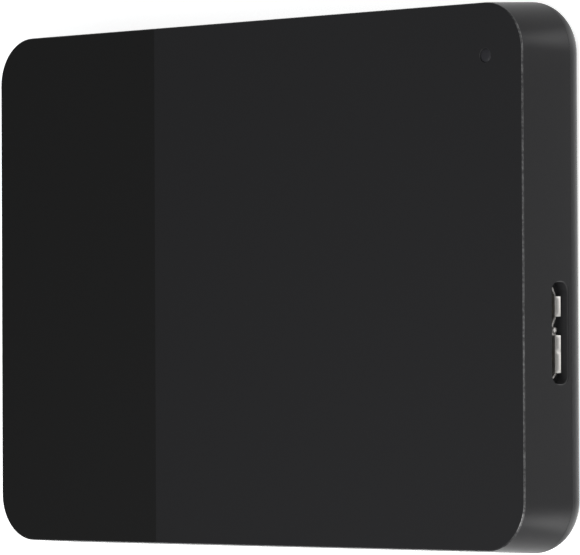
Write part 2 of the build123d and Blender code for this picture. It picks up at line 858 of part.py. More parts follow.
# A flared lip at the mouth, along one straight wall
def mouth_lip(start, end, inner, turn, reach):
    with BuildSketch(Plane.XZ.offset(-start)) as outline:
        with BuildLine() as edge:
            Polyline(
                (socket_rim, inner),
                (socket_rim + reach, inner + turn * reach),
                (socket_rim + reach - lip_fold, inner + turn * (reach + lip_fold)),
                (socket_rim, inner + turn * socket_sheet),
                close=True,
            )
        make_face(edge.edges())
    extrude(outline.sketch, amount=start - end)


with BuildPart() as usb_shell:
    with BuildSketch(socket_plane):
        socket_outline(0)
    extrude(amount=socket_length)
    with BuildSketch(socket_plane):
        socket_outline(socket_sheet)
    extrude(amount=socket_length, mode=Mode.SUBTRACT)
    mouth_lip(*wide_wall, socket_low + socket_sheet, -1, low_lip)
    mouth_lip(*narrow_wall, socket_low + socket_sheet, -1, low_lip)
    mouth_lip(socket_start + wide_run, socket_end - wide_run, socket_high - socket_sheet, 1, high_lip)
    with BuildSketch(level(board_top)):
        with Locations((socket_rim - socket_length + leg_setback + leg_length / 2, 0)):
            for wall_ends in (wide_wall, narrow_wall):
                with Locations((0, sum(wall_ends) / 2)):
                    Rectangle(leg_length, leg_width)
    extrude(amount=socket_lift)

tongue_high_face = socket_high - socket_sheet - tongue_thickness / 2
tongue_places = {
    wide_tongue: socket_start + tongue_side_gap + wide_tongue / 2,
    narrow_tongue: socket_end - tongue_side_gap - narrow_tongue / 2,
}
tongue_low_face = tongue_high_face - tongue_thickness
with BuildPart() as usb_insert:
    with BuildSketch(socket_plane):
        socket_outline(socket_sheet + press_gap)
    extrude(amount=socket_back)
    for width, middle in tongue_places.items():
        with BuildSketch(socket_plane):
            with Locations((middle, tongue_high_face - tongue_thickness / 2)):
                Rectangle(width, tongue_thickness)
        extrude(amount=socket_length - tongue_setback)

contact_plane = Plane.YZ.offset(socket_rim - socket_length + socket_back)
with BuildPart() as usb_contacts:
    for middle in tongue_places.values():
        with BuildSketch(contact_plane):
            with Locations((middle, tongue_low_face - contact_height / 2)):
                with GridLocations(contact_pitch, 0, contact_count, 1):
                    Rectangle(contact_width, contact_height)
        extrude(amount=socket_length - socket_back - tongue_setback - contact_setback)

pieces = {
    "front_shell": front_shell,
    "rear_cover": rear_cover,
    "rubber_feet": rubber_feet,
    "light_pipe": light_pipe,
    "status_led": status_led,
    **bumpers,
    "cushion_pads": cushion_pads,
    "foam_pads": foam_pads,
    "drive_base": drive_base,
    "lid_gasket": lid_gasket,
    "drive_lid": drive_lid,
    "stator_core": stator_core,
    "stator_coils": stator_coils,
    "spindle_hub": spindle_hub,
    "rotor_magnet": rotor_magnet,
    "platter": platter,
    "disc_clamp": disc_clamp,
    "arm_block": arm_block,
    "voice_coil": voice_coil,
    **suspensions,
    "head_sliders": head_sliders,
    "pivot_post": pivot_post,
    "lower_yoke": lower_yoke,
    "upper_yoke": upper_yoke,
    **magnets,
    "load_ramp": load_ramp,
    "crash_stop": crash_stop,
    "breather_filter": breather_filter,
    "ribbon_bracket": ribbon_bracket,
    "head_ribbon": head_ribbon,
    "circuit_board": circuit_board,
    "controller_chip": controller_chip,
    "memory_chip": memory_chip,
    "motor_driver_chip": motor_driver_chip,
    "crystal": crystal,
    "board_capacitors": board_capacitors,
    "board_connector": board_connector,
    "insulating_film": insulating_film,
    "usb_shell": usb_shell,
    "usb_insert": usb_insert,
    "usb_contacts": usb_contacts,
}

os.makedirs("parts", exist_ok=True)
for name, piece in pieces.items():
    piece.part.label = name
    export_step(piece.part, f"parts/{name}.step")
    print(name, len(piece.part.solids()), "solids", round(piece.part.volume, 2), "mm3")
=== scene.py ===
import math

import bmesh
import bpy
from mathutils import Matrix, Vector


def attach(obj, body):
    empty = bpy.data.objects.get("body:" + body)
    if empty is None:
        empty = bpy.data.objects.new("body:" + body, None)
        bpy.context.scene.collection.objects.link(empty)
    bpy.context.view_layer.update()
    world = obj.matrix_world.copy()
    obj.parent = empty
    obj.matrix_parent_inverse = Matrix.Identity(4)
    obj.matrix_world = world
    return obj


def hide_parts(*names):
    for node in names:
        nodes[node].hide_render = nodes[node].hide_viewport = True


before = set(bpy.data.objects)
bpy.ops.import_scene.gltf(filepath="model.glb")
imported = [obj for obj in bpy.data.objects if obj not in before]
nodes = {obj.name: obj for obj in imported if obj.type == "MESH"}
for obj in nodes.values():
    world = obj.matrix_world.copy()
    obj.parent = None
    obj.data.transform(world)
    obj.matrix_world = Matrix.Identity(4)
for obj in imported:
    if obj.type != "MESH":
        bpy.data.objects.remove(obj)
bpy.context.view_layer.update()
collection = bpy.context.scene.collection
mm = 0.001


def inMetres(lengths):
    return [length * mm for length in lengths]


# sRGB hex to the linear values that the shader sockets take
def linear(hexColour):
    channels = [int(hexColour[i:i + 2], 16) / 255 for i in (1, 3, 5)]
    return [c / 12.92 if c <= 0.04045 else ((c + 0.055) / 1.055) ** 2.4 for c in channels] + [1.0]


# adds a node; a setting is a property, a socket's value, or the output or node that feeds the socket
def addNode(tree, kind, settings=None):
    node = tree.nodes.new(kind)
    for name, value in (settings or {}).items():
        if isinstance(value, bpy.types.Node):
            value = value.outputs[0]
        if isinstance(value, bpy.types.NodeSocket):
            tree.links.new(value, node.inputs[name])
        elif isinstance(name, int) or name in node.inputs:
            node.inputs[name].default_value = value
        else:
            setattr(node, name, value)
    return node


def startMaterial(name, settings):
    material = bpy.data.materials.new(name)
    material.use_nodes = True
    tree = material.node_tree
    shader = tree.nodes["Principled BSDF"]
    for socket, value in settings.items():
        shader.inputs[socket].default_value = value
    return material, tree, shader


def coat(item, material):
    item.data.materials.clear()
    item.data.materials.append(material)


# camera, matched to the photograph's perspective of the case, in mm, pixels and degrees
cameraSpec = {
    "focalPx": 4931.3, "imageWidth": 580, "sensor": 36.0, "clipStart": 10.0,
    "azimuth": 44.4991, "pitch": -1.3779, "roll": -0.2624, "distance": 685.289,
    "aim": (54.5, 0.0, 14.0), "across": 32.7885, "rise": 0.1454,
}
azimuth, pitch, roll = (math.radians(cameraSpec[k]) for k in ("azimuth", "pitch", "roll"))
back = Vector((math.sin(azimuth) * math.cos(pitch), math.sin(pitch), math.cos(azimuth) * math.cos(pitch)))
right = Vector((math.cos(azimuth), 0, -math.sin(azimuth)))
up = back.cross(right)
aim = Vector(cameraSpec["aim"]) - right * cameraSpec["across"] - up * cameraSpec["rise"]
place = (aim + back * cameraSpec["distance"]) * mm
rolledRight = right * math.cos(roll) + up * math.sin(roll)
rolledUp = up * math.cos(roll) - right * math.sin(roll)
cameraData = bpy.data.cameras.new("photoCamera")
cameraData.sensor_fit = "HORIZONTAL"
cameraData.sensor_width = cameraSpec["sensor"]
cameraData.lens = cameraSpec["focalPx"] * cameraSpec["sensor"] / cameraSpec["imageWidth"]
cameraData.clip_start = cameraSpec["clipStart"] * mm
cameraObject = bpy.data.objects.new("photoCamera", cameraData)
collection.objects.link(cameraObject)
cameraObject.matrix_world = Matrix((
    (rolledRight.x, rolledUp.x, back.x, place.x),
    (rolledRight.y, rolledUp.y, back.y, place.y),
    (rolledRight.z, rolledUp.z, back.z, place.z),
    (0, 0, 0, 1),
))
bpy.context.scene.camera = cameraObject
bpy.context.scene.view_settings.view_transform = "Standard"
print("camera placed at", [round(v, 4) for v in place])

# soft studio light: an even room, a box over each socket corner and one by the camera, in metres and watts
room = {"colour": "#dcdee0", "strength": 0.30}
world = bpy.data.worlds.new("softRoom")
bpy.context.scene.world = world
world.use_nodes = True
background = world.node_tree.nodes["Background"]
background.inputs["Color"].default_value = linear(room["colour"])
background.inputs["Strength"].default_value = room["strength"]
lightAim = Vector((0, 0, 0.007))
lights = {
    "cornerBox": {"place": (0.11, -0.17, 0.24), "size": 0.18, "power": 0.90},
    "upperBox": {"place": (0.155, 0.20, 0.24), "size": 0.12, "power": 0.16},
    "cameraBox": {"place": (0.62, -0.03, 0.64), "size": 0.34, "power": 1.90},
}
for name, box in lights.items():
    lamp = bpy.data.lights.new(name, "AREA")
    lamp.shape = "SQUARE"
    lamp.size = box["size"]
    lamp.energy = box["power"]
    lampObject = bpy.data.objects.new(name, lamp)
    collection.objects.link(lampObject)
    lampObject.location = box["place"]
    towards = lightAim - Vector(box["place"])
    lampObject.rotation_euler = towards.to_track_quat("-Z", "Y").to_euler()
print("lights:", ", ".join(lights))

# light table: a white sheet that glows to the eye and in reflections; painted strips and pools of extra
# glow, seen only in reflections, brighten it beside the socket end and at its two corners: painted
# reflections on the case that mirrors them; its matt face takes the soft shadow; clear from below
tableSpec = {
    "half": 3.0, "colour": "#f2f2f2", "glowColour": "#ffffff", "glow": 0.80,
    "eyeGlow": (0.68, 0.85), "eyeReach": (70.0, 260.0),
    "paintedStrips": (
        {"across": (53.5, 67.0), "along": (24.0, 36.0), "gain": 0.50},
        {"across": (53.5, 60.0), "along": (30.0, 42.0), "gain": 1.3},
    ),
    "paintedPools": (
        {"place": (62.6, 38.4), "turn": 28.7, "reach": (13.0, 5.5), "gain": 6.6},
        {"place": (60.6, -41.5), "turn": -45.6, "reach": (13.0, 6.0), "gain": 8.2},
    ),
}
half = tableSpec["half"]
tableMesh = bpy.data.meshes.new("lightTable")
tableCorners = [(x * half, y * half, 0) for x, y in ((-1, -1), (1, -1), (1, 1), (-1, 1))]
tableMesh.from_pydata(tableCorners, [], [(0, 1, 2, 3)])
tableObject = bpy.data.objects.new("lightTable", tableMesh)
collection.objects.link(tableObject)
paper = bpy.data.materials.new("matteTableWithPaintedGlow")
paper.use_nodes = True
# it glows only to the eye and in reflections, so it is no lamp to aim at
paper.cycles.emission_sampling = "NONE"
tree = paper.node_tree
tree.nodes.clear()
coords = addNode(tree, "ShaderNodeTexCoord").outputs["Object"]
axes = addNode(tree, "ShaderNodeSeparateXYZ", {0: coords}).outputs
sideways = addNode(tree, "ShaderNodeMath", {"operation": "ABSOLUTE", 0: axes["Y"]})
soft = {"interpolation_type": "SMOOTHSTEP"}   # eases a mapped range at both ends
level = tableSpec["glow"]
# painted light: these strips and pools add glow seen only in reflections, painting bright bands on the case's
# end and corners
for paintedStrip in tableSpec["paintedStrips"]:
    near, far = inMetres(paintedStrip["across"])
    across = addNode(tree, "ShaderNodeMapRange", {
        **soft, "Value": axes["X"], "From Min": near, "From Max": far, "To Min": paintedStrip["gain"], "To Max": 0.0,
    })
    near, far = inMetres(paintedStrip["along"])
    along = addNode(tree, "ShaderNodeMapRange", {
        **soft, "Value": sideways, "From Min": near, "From Max": far, "To Min": 1.0, "To Max": 0.0,
    })
    level = addNode(tree, "ShaderNodeMath", {"operation": "MULTIPLY_ADD", 0: across, 1: along, 2: level})
for paintedPool in tableSpec["paintedPools"]:
    local = addNode(tree, "ShaderNodeMapping", {
        "vector_type": "TEXTURE", "Vector": coords, "Location": (*inMetres(paintedPool["place"]), 0.0),
        "Rotation": (0.0, 0.0, math.radians(paintedPool["turn"])), "Scale": (*inMetres(paintedPool["reach"]), 1.0),
    })
    away = addNode(tree, "ShaderNodeVectorMath", {"operation": "LENGTH", 0: local}).outputs["Value"]
    extra = addNode(tree, "ShaderNodeMapRange", {
        **soft, "Value": away, "To Min": paintedPool["gain"], "To Max": 0.0,
    })
    level = addNode(tree, "ShaderNodeMath", {"operation": "ADD", 0: level, 1: extra})
# the eye itself sees a plainer glow, low enough round the case to leave its shadow
distance = addNode(tree, "ShaderNodeVectorMath", {"operation": "LENGTH", 0: coords}).outputs["Value"]
near, far = inMetres(tableSpec["eyeReach"])
nearGlow, farGlow = tableSpec["eyeGlow"]
toEye = addNode(tree, "ShaderNodeMapRange", {
    **soft, "Value": distance, "From Min": near, "From Max": far, "To Min": nearGlow, "To Max": farGlow,
})
rays = addNode(tree, "ShaderNodeLightPath").outputs
reflecting = addNode(tree, "ShaderNodeMath", {
    "operation": "MAXIMUM", 0: rays["Is Glossy Ray"], 1: rays["Is Transmission Ray"],
})
reflected = addNode(tree, "ShaderNodeMath", {"operation": "MULTIPLY", 0: reflecting, 1: level})
strength = addNode(tree, "ShaderNodeMath", {
    "operation": "MULTIPLY_ADD", 0: rays["Is Camera Ray"], 1: toEye, 2: reflected,
})
glow = addNode(tree, "ShaderNodeEmission", {"Color": linear(tableSpec["glowColour"]), "Strength": strength})
matte = addNode(tree, "ShaderNodeBsdfDiffuse", {"Color": linear(tableSpec["colour"])})
both = addNode(tree, "ShaderNodeAddShader", {0: glow, 1: matte})
below = addNode(tree, "ShaderNodeNewGeometry").outputs["Backfacing"]
clear = addNode(tree, "ShaderNodeBsdfTransparent")
sheet = addNode(tree, "ShaderNodeMixShader", {0: below, 1: both, 2: clear})
addNode(tree, "ShaderNodeOutputMaterial", {"Surface": sheet})
tableMesh.materials.append(paper)
print("light table laid")

# case plastic: ABS, injection moulded, with a spark-eroded tool texture that scatters the
# light to a soft dark grey; the face away from the socket has a finer texture and looks darker
absFinish = {
    "plain": "#222223", "fine": "#1b1b1b", "boundary": -19.75, "blend": 0.04, "faceFrom": 13.75,
    "ior": 1.53, "roughPlain": 0.36, "roughFine": 0.32, "depth": 0.006, "fleck": 0.12,
    "grain": 0.25, "grainDetail": 3.0, "grainRoughness": 0.6,   # coarser than it is, so that it shows
    "gloss": 0.060, "edgeGloss": 0.57, "edgeHeight": 13.8675, "edgeReach": 0.1175, "edgeDepth": 0.03,
    "wear": 0.25, "wornAlong": (44.0, 51.0), "wornAcross": (27.0, 34.0),
    "longEdge": 0.30, "longEdgeReach": (34.0, 36.8),
    "bead": 0.42, "beadDetail": 1.0, "beadRange": (0.3, 0.7), "beadGain": 0.60,
}
casePlastic, tree, shader = startMaterial("absMouldedSparkTexture", {
    "IOR": absFinish["ior"], "Specular IOR Level": absFinish["gloss"],
})
coords = addNode(tree, "ShaderNodeTexCoord").outputs["Object"]
axes = addNode(tree, "ShaderNodeSeparateXYZ", {0: coords}).outputs
boundary, halfBlend = absFinish["boundary"], absFinish["blend"] / 2
plainEnd = addNode(tree, "ShaderNodeMapRange", {
    "Value": axes["X"], "From Min": (boundary - halfBlend) * mm, "From Max": (boundary + halfBlend) * mm,
})
belowFace = addNode(tree, "ShaderNodeMath", {
    "operation": "LESS_THAN", 0: axes["Z"], 1: absFinish["faceFrom"] * mm,
})
zone = addNode(tree, "ShaderNodeMath", {"operation": "MAXIMUM", 0: plainEnd, 1: belowFace})
grain = addNode(tree, "ShaderNodeTexNoise", {
    "Vector": coords, "Scale": 1 / (absFinish["grain"] * mm),
    "Detail": absFinish["grainDetail"], "Roughness": absFinish["grainRoughness"],
})
colour = addNode(tree, "ShaderNodeMix", {
    "data_type": "RGBA", 0: zone, 6: linear(absFinish["fine"]), 7: linear(absFinish["plain"]),
})
fleck = addNode(tree, "ShaderNodeMapRange", {
    "Value": grain, "To Min": 1 - absFinish["fleck"], "To Max": 1 + absFinish["fleck"],
})
flecked = addNode(tree, "ShaderNodeVectorMath", {"operation": "SCALE", 0: colour.outputs[2], "Scale": fleck})
rough = addNode(tree, "ShaderNodeMapRange", {
    "Value": zone, "To Min": absFinish["roughFine"], "To Max": absFinish["roughPlain"],
})
# the tool's texture stops short of the round along the front edge, which is a little glossier
edgeBand = addNode(tree, "ShaderNodeMath", {
    "operation": "COMPARE", 0: axes["Z"], 1: absFinish["edgeHeight"] * mm, 2: absFinish["edgeReach"] * mm,
})
depth = addNode(tree, "ShaderNodeMapRange", {
    "Value": edgeBand, "To Min": absFinish["depth"] * mm, "To Max": absFinish["edgeDepth"] * mm,
})
relief = addNode(tree, "ShaderNodeBump", {"Height": grain, "Distance": depth})
# handling has polished that edge a little more at the four corners, and least along the two long sides
along, across = (addNode(tree, "ShaderNodeMath", {"operation": "ABSOLUTE", 0: axes[axis]}) for axis in "XY")
worn = []
for reach, (start, stop) in ((along, absFinish["wornAlong"]), (across, absFinish["wornAcross"])):
    worn.append(addNode(tree, "ShaderNodeMapRange", {
        **soft, "Value": reach, "From Min": start * mm, "From Max": stop * mm,
    }))
corner = addNode(tree, "ShaderNodeMath", {"operation": "MULTIPLY", 0: worn[0], 1: worn[1]})
wornGloss = absFinish["edgeGloss"] * (1 + absFinish["wear"])
endGloss = addNode(tree, "ShaderNodeMapRange", {
    "Value": corner, "To Min": absFinish["edgeGloss"], "To Max": wornGloss,
})
start, stop = inMetres(absFinish["longEdgeReach"])
longEdge = addNode(tree, "ShaderNodeMapRange", {
    **soft, "Value": across, "From Min": start, "From Max": stop,
    "To Min": 1.0, "To Max": absFinish["longEdge"],
})
edgeGloss = addNode(tree, "ShaderNodeMath", {"operation": "MULTIPLY", 0: endGloss, 1: longEdge})
# the texture breaks the edge's glint into beads, drawn coarser than they are so that they show
bead = addNode(tree, "ShaderNodeTexNoise", {
    "Vector": coords, "Scale": 1 / (absFinish["bead"] * mm), "Detail": absFinish["beadDetail"],
})
faint, strong = absFinish["beadRange"]
beadGain = addNode(tree, "ShaderNodeMapRange", {
    "Value": bead, "From Min": faint, "From Max": strong,
    "To Min": 1 - absFinish["beadGain"], "To Max": 1 + absFinish["beadGain"],
})
beaded = addNode(tree, "ShaderNodeMath", {"operation": "MULTIPLY", 0: edgeGloss, 1: beadGain})
gloss = addNode(tree, "ShaderNodeMapRange", {
    "Value": edgeBand, "To Min": absFinish["gloss"], "To Max": beaded,
})
tree.links.new(flecked.outputs[0], shader.inputs["Base Color"])
tree.links.new(rough.outputs[0], shader.inputs["Roughness"])
tree.links.new(gloss.outputs[0], shader.inputs["Specular IOR Level"])
tree.links.new(relief.outputs[0], shader.inputs["Normal"])
coat(nodes["front_shell"], casePlastic)

# the other finishes: colour and second colour, roughness range, metallic, and a pattern sized in mm,
# drawn coarser than the real one where that is too fine to show
finishes = {
    # moulded rubber: dull black, slightly grey where the mould left it matt
    "rubberMouldedMatt": {
        "colours": ("#161616", "#202020"), "rough": (0.70, 0.85), "grain": 0.30, "depth": 0.015,
        "nodes": ["rubber_feet"]},
    # the case's plastic from a tool with a coarser spark texture: softer light along the rear cover's round
    "absMouldedCoarseTexture": {
        "colours": ("#1e1e1f", "#262627"), "rough": (0.40, 0.50), "ior": 1.53, "level": 0.07,
        "grain": 0.35, "depth": 0.008, "nodes": ["rear_cover"]},
    # the same plastic where the tool was polished, round the slot's rim: a thin line of shine
    "absMouldedPolished": {
        "colours": ("#202021", "#262627"), "rough": (0.30, 0.38), "ior": 1.53, "level": 0.28,
        "grain": 0.25, "depth": 0.01},
    # and inside the slot, where the tool was left as milled: dead matt, and painted lighter than the face as
    # painted light that lifts the slot's shade
    "absMattPaintedLighter": {
        "colours": ("#242425", "#2a2a2b"), "rough": (0.60, 0.75), "ior": 1.53, "level": 0.08,
        "grain": 0.20, "depth": 0.01},
    # smoked acrylic, satin: a dark dot with a soft rim of light
    "acrylicSmokedSatin": {
        "colours": ("#1f1f22", "#262629"), "rough": (0.36, 0.42), "ior": 1.49, "level": 0.28,
        "grain": 0.8, "depth": 0.001, "nodes": ["light_pipe"]},
    # clear epoxy over the diode: pale, a little yellow
    "epoxyCastPale": {
        "colours": ("#d8d2b4", "#e6e0c6"), "rough": (0.15, 0.25), "ior": 1.55, "grain": 0.5, "depth": 0.002,
        "nodes": ["status_led"]},
    # thermoplastic elastomer, moulded: soft black with a satin skin
    "elastomerMouldedSatin": {
        "colours": ("#1e1f20", "#2a2b2d"), "rough": (0.55, 0.70), "grain": 0.40, "depth": 0.012,
        "nodes": ["corner_bumper_lower_left", "corner_bumper_lower_right", "corner_bumper_upper_left",
                  "corner_bumper_upper_right", "crash_stop"]},
    # open-cell foam: charcoal, with painted shade darkening the hollow of each cell
    "foamOpenCell": {
        "colours": ("#202124", "#4a4b4f"), "rough": (0.90, 1.0), "grain": 0.45, "depth": 0.12,
        "pattern": "cells", "nodes": ["cushion_pads", "foam_pads"]},
    # aluminium, die cast: grey skin with a faint mottle
    "aluminiumDieCast": {
        "colours": ("#9a9b9d", "#b4b5b6"), "rough": (0.42, 0.58), "metal": 1.0, "grain": 0.60, "depth": 0.012,
        "nodes": ["drive_base"]},
    # silicone bead, dispensed: dull dark line
    "siliconeDispensed": {
        "colours": ("#1a1a1b", "#262627"), "rough": (0.45, 0.60), "grain": 0.50, "depth": 0.02,
        "nodes": ["lid_gasket"]},
    # stainless sheet, stamped: bright, with streaks brushed along its length
    "stainlessBrushed": {
        "colours": ("#b9bbbd", "#d0d1d2"), "rough": (0.24, 0.40), "metal": 1.0, "grain": 0.15, "depth": 0.002,
        "pattern": "brushed", "nodes": ["drive_lid", "disc_clamp"]},
    # silicon steel laminations with a dark varnish: fine lines along the stack
    "laminationsVarnished": {
        "colours": ("#34353a", "#56575c"), "rough": (0.35, 0.50), "metal": 1.0, "grain": 0.20, "depth": 0.006,
        "pattern": "layers", "nodes": ["stator_core"]},
    # enamelled copper wire, wound: rows of bright orange turns
    "copperEnamelledWound": {
        "colours": ("#7a3d1e", "#d08050"), "rough": (0.25, 0.40), "metal": 1.0, "grain": 0.12, "depth": 0.03,
        "pattern": "layers", "nodes": ["stator_coils", "voice_coil"]},
    # aluminium, turned: fine rings round the spindle
    "aluminiumTurned": {
        "colours": ("#c2c3c4", "#d6d7d8"), "rough": (0.20, 0.34), "metal": 1.0, "grain": 0.10, "depth": 0.002,
        "pattern": "rings", "nodes": ["spindle_hub"]},
    # aluminium, extruded and machined: satin grey with fine streaks
    "aluminiumMachined": {
        "colours": ("#bcbdbe", "#cfd0d1"), "rough": (0.26, 0.40), "metal": 1.0, "grain": 0.12, "depth": 0.003,
        "pattern": "brushed", "nodes": ["arm_block"]},
    # steel, ground: bright with a fine haze
    "steelGround": {
        "colours": ("#c4c5c6", "#d8d9da"), "rough": (0.16, 0.26), "metal": 1.0, "grain": 0.08, "depth": 0.001,
        "pattern": "layers", "nodes": ["pivot_post"]},
    # bonded magnet with an epoxy coat: dark grey with a low sheen
    "magnetEpoxyCoated": {
        "colours": ("#2a2b2d", "#3a3b3d"), "rough": (0.40, 0.55), "grain": 0.30, "depth": 0.008,
        "nodes": ["rotor_magnet"]},
    # glass disc, sputtered and polished: a mirror with the faintest rings
    "discSputteredMirror": {
        "colours": ("#d9dadb", "#e2e3e4"), "rough": (0.03, 0.06), "metal": 1.0, "grain": 0.25,
        "depth": 0.0002, "pattern": "rings", "nodes": ["platter"]},
    # spring steel, etched: bright satin strips
    "springSteelEtched": {
        "colours": ("#c8c4ba", "#d8d5cc"), "rough": (0.25, 0.38), "metal": 1.0, "grain": 0.20, "depth": 0.002,
        "nodes": ["upper_suspension", "lower_suspension"]},
    # alumina ceramic, ground: near black with a low sheen
    "ceramicGround": {
        "colours": ("#262624", "#343432"), "rough": (0.25, 0.35), "grain": 0.10, "depth": 0.001,
        "nodes": ["head_sliders"]},
    # nickel plate over steel: warm grey and fairly bright
    "nickelPlated": {
        "colours": ("#b8b2a6", "#cac5ba"), "rough": (0.20, 0.32), "metal": 1.0, "grain": 0.50, "depth": 0.003,
        "nodes": ["lower_yoke", "upper_yoke", "lower_magnet", "upper_magnet", "crystal"]},
    # acetal, moulded: milky white with a waxy sheen
    "acetalMoulded": {
        "colours": ("#dcdad2", "#e8e6df"), "rough": (0.32, 0.45), "ior": 1.48, "grain": 0.60, "depth": 0.004,
        "nodes": ["load_ramp", "ribbon_bracket"]},
    # felt filter: white fibres with soft hollows, painted greyer in each hollow as painted shade
    "feltWhite": {
        "colours": ("#cfcfcc", "#f0f0ee"), "rough": (0.90, 1.0), "grain": 0.25, "depth": 0.08,
        "pattern": "cells", "nodes": ["breather_filter"]},
    # polyimide film with copper under it: amber and shiny
    "polyimideFilm": {
        "colours": ("#8a4d12", "#a8641e"), "rough": (0.20, 0.30), "ior": 1.7, "grain": 0.35, "depth": 0.004,
        "pattern": "layers", "nodes": ["head_ribbon"]},
    # glass laminate under solder mask: deep green with paler tracks
    "laminateSolderMask": {
        "colours": ("#0d3a2a", "#16553d"), "rough": (0.25, 0.40), "ior": 1.55, "grain": 1.2, "depth": 0.02,
        "pattern": "tracks", "nodes": ["circuit_board"]},
    # moulding epoxy on the chips: black, finely matt
    "epoxyMouldedMatt": {
        "colours": ("#19191b", "#232325"), "rough": (0.50, 0.65), "grain": 0.18, "depth": 0.008,
        "nodes": ["controller_chip", "memory_chip", "motor_driver_chip"]},
    # barium titanate capacitors: sandy brown
    "ceramicSintered": {
        "colours": ("#8b7358", "#a08769"), "rough": (0.40, 0.55), "grain": 0.20, "depth": 0.004,
        "nodes": ["board_capacitors"]},
    # polyester film: black and smooth
    "polyesterFilm": {
        "colours": ("#1b1b1c", "#252526"), "rough": (0.22, 0.34), "ior": 1.64, "grain": 2.0, "depth": 0.006,
        "nodes": ["insulating_film"]},
    # nickel-plated steel sheet, drawn and folded: soft grey satin
    "steelSheetNickelPlated": {
        "colours": ("#9c9a97", "#b2b0ad"), "rough": (0.54, 0.66), "metal": 1.0, "grain": 0.12, "depth": 0.004,
        "nodes": ["usb_shell"]},
    # the same sheet pressed over a tool, on the lips and the tab: burnished, so it holds small highlights
    "steelSheetBurnished": {
        "colours": ("#9c9a97", "#b2b0ad"), "rough": (0.33, 0.39), "metal": 1.0, "grain": 0.12,
        "depth": 0.004},
    # liquid-crystal polymer, moulded: black with flow marks
    "polymerMouldedBlack": {
        "colours": ("#1e1e1f", "#29292a"), "rough": (0.40, 0.55), "ior": 1.6, "grain": 0.25, "depth": 0.006,
        "pattern": "brushed", "nodes": ["usb_insert", "board_connector"]},
    # hard gold over nickel on the contacts: warm yellow, fine streaks
    "goldPlated": {
        "colours": ("#c89a45", "#dcb463"), "rough": (0.18, 0.28), "metal": 1.0, "grain": 0.08, "depth": 0.001,
        "pattern": "brushed", "nodes": ["usb_contacts"]},
}
# the patterns, in widths of the grain; the wave's own period is 2 pi / 20, so it is scaled to one width
wave = {"Scale": math.pi / 10, "Distortion": 0.6, "Detail": 2.0}
noise = {"Scale": 1.0, "Detail": 3.0}
tracks = {
    "Scale": 1.0, "Mortar Size": 0.09, "Mortar Smooth": 0.1, "Brick Width": 2.6, "Row Height": 0.55,
    "Color1": (0, 0, 0, 1), "Color2": (0.15, 0.15, 0.15, 1), "Mortar": (1, 1, 1, 1),
}
patterns = {
    "grain": {"kind": "ShaderNodeTexNoise", "settings": noise, "height": 0},
    "brushed": {"kind": "ShaderNodeTexNoise", "settings": noise, "height": 0, "stretch": 30},
    "rings": {"kind": "ShaderNodeTexWave", "height": "Fac", "middle": (-14.2, 0.0, 0.0),
              "settings": {"wave_type": "RINGS", "rings_direction": "Z", **wave}},
    "layers": {"kind": "ShaderNodeTexWave", "height": "Fac",
               "settings": {"wave_type": "BANDS", "bands_direction": "Z", **wave}},
    "cells": {"kind": "ShaderNodeTexVoronoi", "settings": {"Scale": 1.0}, "height": "Distance"},
    "tracks": {"kind": "ShaderNodeTexBrick", "settings": tracks, "height": "Color"},
}
materials = {"absMouldedSparkTexture": casePlastic}
for name, finish in finishes.items():
    settings = {"Metallic": finish.get("metal", 0.0)}
    if "ior" in finish:
        settings["IOR"] = finish["ior"]
    if "level" in finish:
        settings["Specular IOR Level"] = finish["level"]
    material, tree, shader = startMaterial(name, settings)
    pattern = patterns[finish.get("pattern", "grain")]
    perMetre = 1 / (finish["grain"] * mm)
    middle = Vector(inMetres(pattern.get("middle", (0.0, 0.0, 0.0))))
    coords = addNode(tree, "ShaderNodeTexCoord")
    scaled = addNode(tree, "ShaderNodeMapping", {
        "Vector": coords.outputs["Object"], "Location": -middle * perMetre,
        "Scale": (perMetre / pattern.get("stretch", 1), perMetre, perMetre),
    })
    texture = addNode(tree, pattern["kind"], {**pattern["settings"], "Vector": scaled})
    height = texture.outputs[pattern["height"]]
    first, second = finish["colours"]
    colour = addNode(tree, "ShaderNodeMix", {
        "data_type": "RGBA", 0: height, 6: linear(first), 7: linear(second),
    })
    smooth, dull = finish["rough"]
    rough = addNode(tree, "ShaderNodeMapRange", {"Value": height, "To Min": smooth, "To Max": dull})
    relief = addNode(tree, "ShaderNodeBump", {"Height": height, "Distance": finish["depth"] * mm})
    tree.links.new(colour.outputs[2], shader.inputs["Base Color"])
    tree.links.new(rough.outputs[0], shader.inputs["Roughness"])
    tree.links.new(relief.outputs[0], shader.inputs["Normal"])
    materials[name] = material
    for node in finish.get("nodes", ()):
        coat(nodes[node], material)
print("finishes:", len(materials))


# the angles of a quarter turn
def quarterTurn(steps):
    return [math.radians(90 * i / steps) for i in range(steps + 1)]


# two lengths on one side of the middle, in rising order
def mirrorPair(sign, near, far):
    return sorted((sign * near, sign * far))


# a rounded rectangle in the plane of the case, corner by corner
def roundedLoop(halfLength, halfWidth, radius, steps):
    loop = []
    for turn, (sx, sy) in enumerate(((1, 1), (-1, 1), (-1, -1), (1, -1))):
        for step in range(steps + 1):
            angle = math.radians(90 * (turn + step / steps))
            loop.append((sx * (halfLength - radius) + radius * math.cos(angle),
                         sy * (halfWidth - radius) + radius * math.sin(angle)))
    return loop


def circleLoop(middle, radius, z, points):
    angles = [math.tau * i / points for i in range(points)]
    return [(middle[0] + radius * math.cos(a), middle[1] + radius * math.sin(a), z) for a in angles]


# a band of faces between two rings of vertices
def joinRings(bm, lower, upper):
    for i in range(len(lower)):
        j = (i + 1) % len(lower)
        bm.faces.new((lower[i], lower[j], upper[j], upper[i]))


# joins loops of points, in mm, into a skin and closes the ends that are asked for
def skinLoops(bm, loops, closeFirst=False, closeLast=False):
    rings = [[bm.verts.new(Vector(point) * mm) for point in loop] for loop in loops]
    for lower, upper in zip(rings, rings[1:]):
        joinRings(bm, lower, upper)
    if closeFirst:
        bm.faces.new(rings[0][::-1])
    if closeLast:
        bm.faces.new(rings[-1])
    return rings


